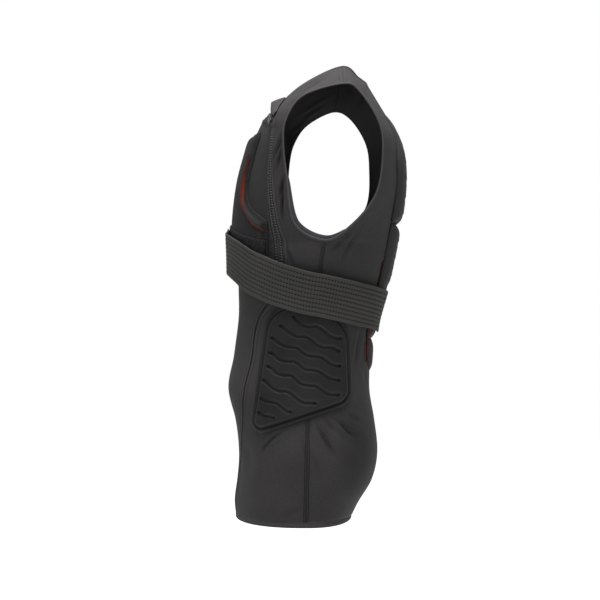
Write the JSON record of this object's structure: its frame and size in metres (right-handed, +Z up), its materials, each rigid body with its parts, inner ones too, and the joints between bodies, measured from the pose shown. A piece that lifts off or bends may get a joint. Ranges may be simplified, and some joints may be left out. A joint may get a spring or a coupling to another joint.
{
  "type": "protective vest",
  "caption": "Sleeveless stretch-knit body protector vest with chest, rib and back pads, a bib zipper and a wide elastic belt, shaped as worn.",
  "frame": {"origin": "midway between the shoulders, on the line of the shoulder seams where they carry the vest", "axes": "+Z up from hem to neck, +X towards the wearer's left, -Y towards the wearer's front"},
  "size_m": [0.3772, 0.2715, 0.6626],
  "materials": {
    "knit": "matt charcoal stretch knit",
    "edging": "matt turned edge",
    "foam": "matt foam under knit",
    "elastic": "woven elastic with dashed ribs",
    "loop": "matt loop pile",
    "accent": "dark red trim",
    "zipper": "nylon coil",
    "slider": "dark satin"
  },
  "bodies": {
    "root": {"front_panel": "knit", "left_front_panel": "knit", "right_front_panel": "knit", "back_panel": "knit", "zip_garage": "knit", "left_armhole_binding": "edging", "right_armhole_binding": "edging", "neck_binding": "edging", "hem_band": "edging", "chest_pad": "foam", "back_plate_upper": "foam", "back_plate_middle": "foam", "back_plate_lower": "foam", "left_rib_pad": "foam", "right_rib_pad": "foam", "elastic_belt": "elastic", "loop_patch": "loop", "left_chest_trim": "accent", "right_chest_trim": "accent", "left_back_piping": "accent", "right_back_piping": "accent", "zipper_chain": "zipper", "zipper_slider": "slider"}
  },
  "joints": []
}
